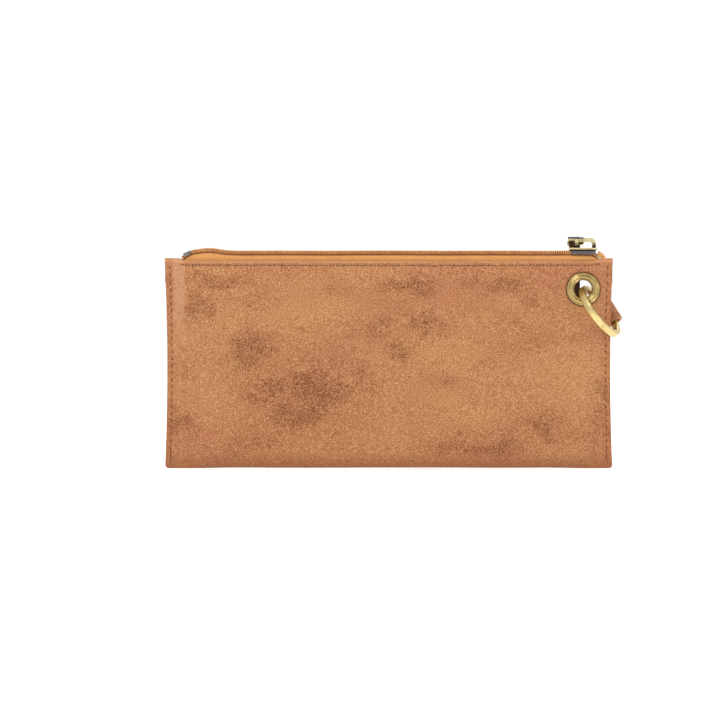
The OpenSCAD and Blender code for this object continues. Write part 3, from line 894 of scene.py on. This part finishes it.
def zip_coil(side, end):
    """One nylon spiral: flat turns side by side, the meshing heads just past the middle."""
    wire = 0.44 * MM
    start = ZIP_X0 + (0.0 if side < 0 else COIL_PITCH / 2)
    y_out = 2.52 * MM
    half_z = 0.62 * MM
    first, last = coil_turns(end)
    points = []
    for k in range(first * COIL_STEPS, last * COIL_STEPS + 1):
        a = 2 * math.pi * k / COIL_STEPS
        x = start + COIL_PITCH * k / COIL_STEPS
        c, s = math.cos(a), math.sin(a)
        y_in = mix(-0.30 * MM, 0.80 * MM, parted(x))
        y = mix(y_in, y_out, 0.5 + 0.5 * math.copysign(abs(c) ** 0.6, c))
        z = COIL_Z + half_z * math.copysign(abs(s) ** 0.8, s)
        points.append(Vector((x, side * y, z + zip_path(x))))
    frames = []
    for i in range(len(points)):
        t = tangent(points, i)
        u = t.cross(X_AXIS).normalized()
        frames.append((u, t.cross(u).normalized()))
    name = ("coil_front" if side < 0 else "coil_back") + ("_end" if end else "_run")
    return mesh_object(name, *sweep(points, frames, ellipse(wire, wire * 0.75, 6)))


def coil_sewing(end):
    """Two rows of thread that sew the coils down on the tapes."""
    first, last = coil_turns(end)
    parts = []
    for side in (-1, 1):
        for k in range(max(first, 4) // 2, last // 2 - (0 if end else 1)):
            x = ZIP_X0 + 2 * COIL_PITCH * k
            z = COIL_Z + 0.86 * MM + zip_path(x)
            parts.append(capsule(Vector((x, side * 1.9 * MM, z)), X_AXIS, 0.86 * MM, 0.11 * MM))
    return mesh_object("coil_sewing_end" if end else "coil_sewing_run", *merge(parts))


def coil_cords():
    """Cords under the coils' outer edges, where they meet the tapes; their dark colour is painted shade of
    the gap between coil and tape.
    """
    xs = np.linspace(ZIP_X0 + 0.5 * MM, ZIP_X1 - 0.5 * MM, 200)
    frames = [(Vector((0, 1, 0)), Z_AXIS)] * len(xs)
    parts = []
    for side in (-1, 1):
        points = [Vector((x, side * 2.2 * MM, TAPE_TOP + 0.16 * MM + zip_path(x))) for x in xs]
        parts.append(sweep(points, frames, ellipse(0.34 * MM, 0.34 * MM, 8)))
    return mesh_object("coil_cords", *merge(parts))


def coil_tails():
    """Loose turns at the ends of the coils, spread down over the tapes past the top stops."""
    parts = []
    for side in (-1, 1):
        for k in range(5):
            centre = Vector((ZIP_X1 + (0.3 + 0.62 * k) * MM, side * (2.5 + 0.08 * k) * MM,
                             TAPE_TOP + (0.75 - 0.52 * k) * MM))
            lean = Vector((0.55, 0, 0.83))
            parts.append(capsule(centre, lean, 1.15 * MM, 0.36 * MM, 0.15 * MM, Vector((0, side, 0))))
    return mesh_object("coil_tails", *merge(parts))


def zip_chain():
    """Both coils and their sewing; the pieces of the raised left end get meshes of their own."""
    finish_piece(coil_cords(), "pouch", "dark_thread", SHADED_CORD)
    finish_piece(coil_tails(), "pouch", "zip_coil", COIL)
    for end in (False, True):
        pieces = []
        for side, word in SIDES:
            coil = zip_coil(side, end)
            finish_piece(coil, "pouch", "zip_coil", COIL, *([] if end else [f"zip_coil_{word}"]))
            pieces.append(coil)
        pieces.append(coil_sewing(end))
        finish_piece(pieces[-1], "pouch", "zip_tape", TAPE)
        if end:
            for piece in pieces:
                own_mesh(piece)


# ---- threads

def capsule(centre, direction, half, radius, sag=0.0, down=Z_AXIS):
    """A stitch: a thread with rounded ends that dip into the leather by sag."""
    u = direction.cross(down).normalized()
    if u.length < 0.5:
        u = Vector((0, 1, 0))
    v = direction.cross(u).normalized()
    sides = 8
    verts = []
    half_shape = [(0.3, 1.0), (0.72, 0.92), (0.93, 0.55), (1.0, 0.05)]
    shape = [(-s, r) for s, r in reversed(half_shape)] + half_shape
    for s, r in shape:
        p = centre + direction * (half * s) - down * (sag * s * s)
        for k in range(sides):
            a = math.tau * k / sides
            verts.append(p + u * (radius * r * math.cos(a)) + v * (radius * r * math.sin(a)))
    return verts, tube_faces(len(shape), sides)


def row_of_stitches(name, places, side, radius=0.30 * MM):
    """places are (x, z, direction) on a panel; each stitch lies in the surface."""
    rnd = random.Random(len(places) + side)
    step = 0.4 * MM
    normal = Vector((0, side, 0))
    parts = []
    for x, z, along in places:
        dx, dz = along.x * step, along.z * step
        t = (outside(x + dx, z + dz, side) - outside(x - dx, z - dz, side)).normalized()
        tilt = Vector((0, 0, 0.07 * rnd.uniform(-1, 1)))
        parts.append(capsule(lifted(x, z, side) + normal * 0.06 * MM, (t + tilt).normalized(),
                             PITCH * rnd.uniform(0.33, 0.37), radius, 0.34 * MM, normal))
    return mesh_object(name, *merge(parts))


def needle_holes(name, places, side):
    """Needle holes between the stitches of a row along X, as dark capsules sunk flush with the leather:
    painted shade inside the holes.
    """
    normal = Vector((0, side, 0))
    parts = []
    for x, z, along in places:
        parts.append(capsule(lifted(x + PITCH / 2, z, side), along, 0.42 * MM, 0.33 * MM, 0.12 * MM, normal))
    return mesh_object(name, *merge(parts))


def top_places():
    count = int((HALF_W - 5 * MM) / PITCH)
    return [(k * PITCH, HEIGHT - TOP_ROW, X_AXIS) for k in range(-count, count + 1)]


def side_places(end):
    count = int((HEIGHT - 6 * MM) / PITCH)
    x = end * (HALF_W - SIDE_ROW)
    places = [(x, 3 * MM + k * PITCH, Z_AXIS) for k in range(count + 1)]
    tack = [(x - end * 0.3 * MM, 3 * MM + (k + 0.5) * PITCH, Z_AXIS) for k in range(2)]
    return places + tack


def stitch_rows():
    for side, word in SIDES:
        row = row_of_stitches(f"top_thread_{word}", top_places(), side)
        finish_piece(row, "pouch", "dark_thread", THREAD_TOP, f"top_stitching_{word}")
        holes = needle_holes(f"top_holes_{word}", top_places(), side)
        finish_piece(holes, "pouch", "dark_leather", HOLE_SHADE)
    for end, word in ((-1, "left"), (1, "right")):
        front = row_of_stitches(f"seam_thread_{word}_front", side_places(end), -1, 0.26 * MM)
        finish_piece(front, "pouch", "dark_thread", THREAD_SIDE, f"side_seam_{word}")
        back = row_of_stitches(f"seam_thread_{word}_back", side_places(end), 1, 0.26 * MM)
        finish_piece(back, "pouch", "dark_thread", THREAD_SIDE)


# ---- leather strap pieces

def rounded_rect(w, t, r):
    """Profile of a strap: w wide, t thick, corners of radius r."""
    out = []
    for quarter, (sx, sy) in enumerate(((1, 1), (-1, 1), (-1, -1), (1, -1))):
        out += arc(sx * (w / 2 - r), sy * (t / 2 - r), r, r, 90 * quarter, 90, 3)
    return out


def strap_frame():
    """(origin, along to the tip, outwards, across) of the wrist strap, as the CAD places it."""
    drop, tilt, turn = (math.radians(a) for a in (53, 16, -18.2))
    m = Matrix.Rotation(drop, 3, "Y") @ Matrix.Rotation(tilt, 3, "X") @ Matrix.Rotation(turn, 3, "Z")
    m = m @ Matrix.Rotation(math.pi / 2, 3, "Y")
    origin = Vector(joints["strap_swing"]["pos_m"])
    return origin, m @ X_AXIS, m @ Vector((0, 1, 0)), m @ Z_AXIS


TUNNEL_R = 2.8 * MM
STRAP_T = 1.4 * MM
STRAP_W = 10.6 * MM
STRAP_L = 115 * MM
NECK_END = 16 * MM
STRAP_OPEN = 40 * MM


LOOP_PEAK = 0.7       # highest value of the loop's outline formula


def loop_at(v):
    """(along, out) of half the open loop, from the neck at v = 0 to the tip at v = pi."""
    half = STRAP_OPEN / 2 / LOOP_PEAK * math.sin(v) * max(0.0, math.sin(v / 2)) ** 1.5
    return NECK_END + (STRAP_L - NECK_END) * (1 - math.cos(v)) / 2, half


def strap_line():
    """Middle line of the strap as (along, out): round the ring, then out to the tip and back."""
    ply = STRAP_T / 2 + 0.05 * MM
    r = TUNNEL_R + STRAP_T / 2
    fold = arc(0, 0, r, r, 58, 244, 24)
    side = [(5.2 * MM, ply * 1.02), (8 * MM, ply), (12 * MM, ply), (NECK_END, ply)]
    for k in range(1, 45):
        a, b = loop_at(math.pi * (0.12 + 0.88 * k / 45))
        side.append((a, max(b, ply)))
    return fold + [(a, -b) for a, b in side] + side[::-1]


def smooth_line(points):
    """The closed line with each point moved towards the middle of its neighbours."""
    pts = [Vector(p) for p in points]
    n = len(pts)
    return [(pts[i - 1] + pts[i] * 2 + pts[(i + 1) % n]) / 4 for i in range(n)]


def wrist_strap():
    origin, along, out, across = strap_frame()
    points = [origin + along * p.x + out * p.y for p in smooth_line(strap_line())]
    frames = []
    for i in range(len(points)):
        frames.append((across, across.cross(tangent(points, i, closed=True)).normalized()))
    profile = rounded_rect(STRAP_W, STRAP_T, 0.45 * MM)
    return mesh_object("wrist_strap_leather", *sweep(points, frames, profile, closed=True))


def strap_threads():
    """Edge stitching along both sides of the strap's faces, left off where the two plies meet in the neck.
    """
    origin, along, out, across = strap_frame()
    line = smooth_line(strap_line())
    n = len(line)
    lengths = [0.0]
    for i in range(n):
        lengths.append(lengths[-1] + (line[(i + 1) % n] - line[i]).length)
    total = lengths[-1]
    count = int(total / PITCH)
    parts = []
    for k in range(count):
        s = total * k / count
        i = max(j for j in range(n) if lengths[j] <= s)
        a, b = line[i], line[(i + 1) % n]
        p = a + (b - a) * ((s - lengths[i]) / max(1e-9, lengths[i + 1] - lengths[i]))
        t = (b - a).normalized()
        q = origin + along * p.x + out * p.y
        lay = (along * t.x + out * t.y).normalized()
        normal = across.cross(lay).normalized()
        in_neck = p.x < NECK_END + 4 * MM and abs(p.y) < 2 * MM
        for edge in (-1, 1):
            for face in (-1, 1):
                if in_neck and (normal * face).dot(out) * p.y < 0:
                    continue
                place = q + across * (edge * (STRAP_W / 2 - 2.6 * MM)) + normal * (face * STRAP_T / 2)
                parts.append(capsule(place, lay, PITCH * 0.34, 0.26 * MM, 0.26 * MM, normal * face))
    return mesh_object("strap_thread", *merge(parts))


def pull_tab():
    """Leather tab: a strip folded round the link's pin, both plies sewn together below it."""
    x_mid = (tab_lo[0] + tab_hi[0]) / 2
    low = tab_lo[2]
    ply = 1.12 * MM
    r = 0.78 * MM + ply / 2
    apart = ply / 2 + 0.01 * MM
    fold_z = PIN_Z - 3.2 * MM
    line = [(PIN_Y - apart, z) for z in np.linspace(low + 0.2 * MM, fold_z, 12)]
    line += arc(PIN_Y, PIN_Z, r, r, 215, -250, 14)
    line += [(PIN_Y + apart, z) for z in np.linspace(fold_z, low, 12)]
    points = [Vector((x_mid, y, z)) for y, z in line]
    frames = [(X_AXIS, tangent(points, i).cross(X_AXIS).normalized()) for i in range(len(points))]
    profile = rounded_rect(tab_hi[0] - tab_lo[0], ply, 0.35 * MM)
    return mesh_object("pull_tab_leather", *sweep(points, frames, profile))


def pull_tab_threads():
    parts = []
    for x in (tab_lo[0] + 1.0 * MM, tab_hi[0] - 1.0 * MM):
        for side in (-1, 1):
            for k in range(7):
                centre = Vector((x, PIN_Y + side * 1.16 * MM, PIN_Z - 4.6 * MM - k * PITCH))
                parts.append(capsule(centre, Z_AXIS, PITCH * 0.35, 0.2 * MM, 0.2 * MM,
                                     Vector((0, side, 0))))
    return mesh_object("pull_tab_thread", *merge(parts))


# ---- turned and bevelled metal

def turned(name, profile, centre):
    """A closed profile [(radius, distance along -Y)] turned about the eyelet's axis."""
    segments = 96
    verts = []
    n = len(profile)
    for k in range(segments):
        a = math.tau * k / segments
        for r, d in profile:
            verts.append(Vector((centre.x + r * math.cos(a), centre.y - d, centre.z + r * math.sin(a))))
    faces = ring_strip(segments, n, closed_u=True, closed_v=True)
    return mesh_object(name, verts, faces)


def eyelet_piece():
    """Flange with an outer bead, a shallow groove, a broad crown and a rolled inner lip."""
    seat = EYE_HALF + 0.04 * MM
    r0 = HOLE_R
    big = FLANGE_R
    bead = arc(big - 0.45 * MM, seat + 0.30 * MM, 0.42 * MM, 0.42 * MM, 180, -180, 8)
    crown = []
    for v in (k / 8 for k in range(9)):
        rise = 0.62 * MM * math.sin(math.pi * (0.06 + 0.72 * v))
        crown.append((mix(big - 0.95 * MM, r0 + 1.05 * MM, v), seat + 0.36 * MM + rise))
    lip = arc(r0 + 0.50 * MM, seat + 0.50 * MM, 0.50 * MM, 0.52 * MM, 20, 160, 7)
    barrel = [(r0, seat), (r0, 0.0), (r0, -seat - 0.4 * MM)]
    roll = arc(r0 + 0.5 * MM, -seat - 0.55 * MM, 0.5 * MM, 0.4 * MM, 180, 160, 7)
    back = [(r0 + 0.5 * MM, -seat - 0.52 * MM), (r0 + 0.5 * MM, seat), (big - 0.1 * MM, seat)]
    return turned("eyelet_brass", bead + crown + lip + barrel + roll + back, Vector((EYE_X, 0, EYE_Z)))


def washer_piece():
    seat = EYE_HALF + 0.05 * MM
    r0 = HOLE_R + 0.6 * MM
    r1 = (washer_hi[0] - washer_lo[0]) / 2
    dome = []
    for v in np.linspace(0.03, 1, 10):
        dome.append((mix(r1, r0, v), -seat - 0.42 * MM - 0.14 * MM * math.sin(math.pi * v)))
    profile = [(r0, -seat), (r1, -seat), (r1 + 0.05 * MM, -seat - 0.2 * MM)] + dome
    return turned("eyelet_washer_brass", profile, Vector((EYE_X, 0, EYE_Z)))


def block(size, corner, matrix):
    """A box with round edges, as verts and faces placed by matrix."""
    bm = bmesh.new()
    bmesh.ops.create_cube(bm, size=1.0)
    bmesh.ops.scale(bm, vec=size, verts=bm.verts)
    bmesh.ops.bevel(bm, geom=list(bm.edges), offset=corner, segments=4, profile=0.5, affect="EDGES")
    bm.verts.ensure_lookup_table()
    verts = [matrix @ v.co for v in bm.verts]
    faces = [tuple(v.index for v in f.verts) for f in bm.faces]
    bm.free()
    return verts, faces


def bottom_stop():
    """A crimped staple over both coils, tipped with the chain where it dives into the leather."""
    x = (stop_lo[0] + stop_hi[0]) / 2
    z = COIL_Z + zip_path(x) + 0.25 * MM
    place = Matrix.Translation((x, 0, z)) @ Matrix.Rotation(math.radians(-24), 4, "Y")
    w = stop_hi[1] - stop_lo[1]
    top = place @ Matrix.Translation((0, 0, 0.85 * MM))
    parts = [block((3.8 * MM, w - 0.5 * MM, 0.6 * MM), 0.25 * MM, top)]
    for side in (-1, 1):
        leg = place @ Matrix.Translation((0, side * (w / 2 - 0.35 * MM), 0.25 * MM))
        parts.append(block((3.8 * MM, 0.6 * MM, 1.7 * MM), 0.25 * MM, leg))
    return mesh_object("bottom_stop_steel", *merge(parts))


def top_stops():
    """One small crimped cap on the end of each coil."""
    parts = []
    x = ZIP_X1 - 0.1 * MM
    z = COIL_Z + zip_path(ZIP_X1) - 0.3 * MM
    for side in (-1, 1):
        place = Matrix.Translation((x, side * 1.55 * MM, z)) @ Matrix.Rotation(math.radians(14), 4, "Y")
        parts.append(block((1.5 * MM, 1.9 * MM, 1.8 * MM), 0.5 * MM, place))
    return mesh_object("top_stop_caps", *merge(parts))


def soften(node, width, material):
    """Keeps a CAD node, joins its loose triangles and rounds its edges."""
    obj = nodes[node]
    weld = obj.modifiers.new("weld", "WELD")
    weld.merge_threshold = 2e-6
    flatten = obj.modifiers.new("flat", "DECIMATE")
    flatten.decimate_type = "DISSOLVE"
    flatten.angle_limit = math.radians(1.0)
    bevel = obj.modifiers.new("bevel", "BEVEL")
    bevel.width = width
    bevel.segments = 3
    bevel.limit_method = "ANGLE"
    bevel.angle_limit = math.radians(32)
    bevel.harden_normals = False
    bevel.use_clamp_overlap = True
    obj.data.polygons.foreach_set("use_smooth", [True] * len(obj.data.polygons))
    normals = obj.modifiers.new("normals", "WEIGHTED_NORMAL")
    normals.keep_sharp = False
    paint(obj, material)


# ---- build

def build():
    shell = pouch_shell()
    finish_piece(shell, "pouch", "tan_leather", TAN, "leather_shell", "hem_front", "hem_back")
    finish_piece(lining_bag(), "pouch", "lining_cloth", CLOTH, "lining_front", "lining_back")
    finish_piece(card_pocket(), "pouch", "tan_leather", STRAP_TAN, "card_pocket")
    finish_piece(zip_tape(-1), "pouch", "zip_tape", TAPE, "zip_tape_front")
    finish_piece(zip_tape(1), "pouch", "zip_tape", TAPE, "zip_tape_back")
    zip_chain()
    finish_piece(eyelet_piece(), "pouch", "antique_brass", EYELET_BRASS, "eyelet")
    finish_piece(washer_piece(), "pouch", "antique_brass", EYELET_BRASS, "eyelet_washer")
    stitch_rows()
    finish_piece(wrist_strap(), "strap", "tan_leather", STRAP_TAN, "wrist_strap")
    finish_piece(strap_threads(), "strap", "light_thread", THREAD_STRAP, "strap_stitches")
    finish_piece(pull_tab(), "tab", "dark_leather", DARK, "pull_tab")
    finish_piece(pull_tab_threads(), "tab", "light_thread", THREAD_SIDE, "pull_tab_stitches")
    finish_piece(bottom_stop(), "pouch", "grey_metal", STEEL, "bottom_stop")
    finish_piece(top_stops(), "pouch", "antique_brass", BRASS, "top_stops")
    soften("slider_body", 0.22 * MM, SLIDER_BRASS)
    soften("slider_bridge", 0.55 * MM, BRIDGE_BRASS)
    soften("pull_link", 0.3 * MM, LINK_BRASS)
    soften("pull_link_pin", 0.2 * MM, BRASS)
    soften("strap_ring", 0.1 * MM, RING_BRASS)


# ---- stage, lights and camera

VIEW_W = 338.26 * MM      # width of the view at the wallet
VIEW_X = -13.5 * MM
VIEW_Z = 50.9 * MM
CAMERA_FAR = 2.2
CAMERA_LIFT = math.radians(1.5)
SENSOR_MM = 36
FLOOR_HALF = 3.0
WHITE = (1, 1, 1, 1)


def aimed(name, data, place, target):
    """A new camera or lamp at place that looks at target."""
    obj = new_object(name, data)
    obj.location = place
    obj.rotation_euler = (Vector(target) - Vector(place)).to_track_quat("-Z", "Y").to_euler()
    return obj


def camera():
    data = bpy.data.cameras.new("camera")
    data.sensor_width = SENSOR_MM
    data.lens = SENSOR_MM * CAMERA_FAR / VIEW_W
    data.clip_end = 20
    target = Vector((VIEW_X, 0, VIEW_Z))
    away = Vector((0, -math.cos(CAMERA_LIFT), math.sin(CAMERA_LIFT)))
    bpy.context.scene.camera = aimed("camera", data, target + away * CAMERA_FAR, target)


def area_light(name, place, target, size, watts, colour=(1, 1, 1)):
    data = bpy.data.lights.new(name, "AREA")
    data.shape = "DISK"
    data.size = size
    data.energy = watts
    data.color = colour
    aimed(name, data, place, target)


def floor():
    """A plain pale floor with a faint glow of its own."""
    corners = [(x * FLOOR_HALF, y * FLOOR_HALF, 0) for x, y in ((-1, -1), (1, -1), (1, 1), (-1, 1))]
    mesh = bpy.data.meshes.new("floor")
    mesh.from_pydata(corners, [], [(0, 1, 2, 3)])
    ground = new_object("floor", mesh)
    ground.location.z = -0.5 * MM
    m = Nodes("floor_white")
    m.set(Base_Color=(0.9, 0.9, 0.9, 1), Roughness=0.9, Emission_Color=WHITE, Emission_Strength=0.45)
    m.bump((m.noise(30, 2, 0.5), 0.02, 0.2))
    ground.data.materials.append(m.mat)


def surroundings():
    """A white world, dimmer on the camera's side, so that metal has something to reflect."""
    world = bpy.data.worlds.new("studio")
    world.use_nodes = True
    tree = world.node_tree
    coord = tree.nodes.new("ShaderNodeTexCoord")
    axes = tree.nodes.new("ShaderNodeSeparateXYZ")
    ramp = tree.nodes.new("ShaderNodeMapRange")
    ramp.interpolation_type = "SMOOTHSTEP"
    for name, value in (("From Min", -0.55), ("From Max", 0.25), ("To Min", 0.42), ("To Max", 1.05)):
        ramp.inputs[name].default_value = value
    background = tree.nodes["Background"]
    background.inputs[0].default_value = WHITE
    tree.links.new(coord.outputs["Generated"], axes.inputs[0])
    tree.links.new(axes.outputs[1], ramp.inputs["Value"])
    tree.links.new(ramp.outputs[0], background.inputs["Strength"])
    bpy.context.scene.world = world


def stage():
    floor()
    surroundings()
    middle = (0, 0, 0.05)
    area_light("key", (-0.7, -1.2, 1.1), middle, 0.7, 13, (1.0, 0.99, 0.97))
    area_light("fill", (1.1, -1.0, 0.5), middle, 0.9, 5)
    area_light("rim", (0.3, 1.1, 1.1), middle, 0.8, 5)
    bpy.context.scene.view_settings.view_transform = "Standard"
    bpy.context.scene.view_settings.look = "None"


camera()
stage()
build()
